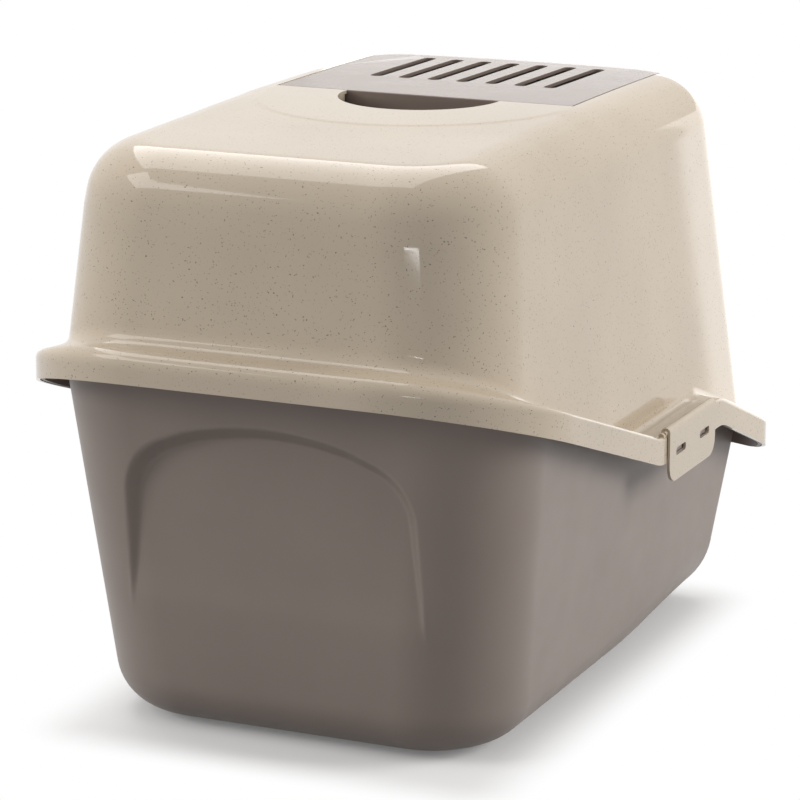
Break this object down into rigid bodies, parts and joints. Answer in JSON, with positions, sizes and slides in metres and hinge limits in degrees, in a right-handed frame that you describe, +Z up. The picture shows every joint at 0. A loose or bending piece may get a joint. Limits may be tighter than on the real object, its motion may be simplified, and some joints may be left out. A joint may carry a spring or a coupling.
{
  "type": "covered litter box",
  "caption": "Covered litter box: litter tray with a sloping rim, lift-off hood with side clips, hinged front panel with a grille, filter and swing door.",
  "frame": {"origin": "on the floor, at the middle of the box seen from above", "axes": "+Z up, -Y towards the entrance, X across the box"},
  "size_m": [0.3944, 0.56, 0.4175],
  "materials": {
    "tray_plastic": "matt taupe moulded plastic",
    "hood_plastic": "glossy cream plastic with fine dark specks",
    "clip_plastic": "satin cream plastic",
    "panel_plastic": "satin taupe moulded plastic",
    "door_plastic": "smooth taupe plastic",
    "holder_plastic": "matt dark taupe plastic",
    "filter_felt": "black carbon felt"
  },
  "bodies": {
    "base": {"base_tray": "tray_plastic"},
    "hood": {"hood_shell": "hood_plastic"},
    "left_clip": {"left_clip": "clip_plastic"},
    "right_clip": {"right_clip": "clip_plastic"},
    "front_panel": {"front_panel": "panel_plastic"},
    "swing_door": {"swing_door": "door_plastic"},
    "filter_holder": {"filter_holder": "holder_plastic", "carbon_filter": "filter_felt"}
  },
  "joints": [
    {"name": "hood_lift", "type": "slide", "parent": "base", "child": "hood", "axis": [0, 0, 1], "range_m": [0, 0.3]},
    {"name": "left_clip_hinge", "type": "hinge", "parent": "hood", "child": "left_clip", "pos_m": [-0.1937, -0.062, 0.1902], "axis": [0, 1, 0], "range_deg": [0, 110]},
    {"name": "right_clip_hinge", "type": "hinge", "parent": "hood", "child": "right_clip", "pos_m": [0.1937, -0.062, 0.1902], "axis": [0, -1, 0], "range_deg": [0, 110]},
    {"name": "panel_hinge", "type": "hinge", "parent": "hood", "child": "front_panel", "pos_m": [0, -0.043, 0.4095], "axis": [-1, 0, 0], "range_deg": [0, 100]},
    {"name": "door_swing", "type": "hinge", "parent": "front_panel", "child": "swing_door", "pos_m": [0, -0.218, 0.352], "axis": [1, 0, 0], "range_deg": [-75, 75]},
    {"name": "filter_holder_slide", "type": "slide", "parent": "front_panel", "child": "filter_holder", "axis": [0, 0, -1], "range_m": [0, 0.03]}
  ]
}
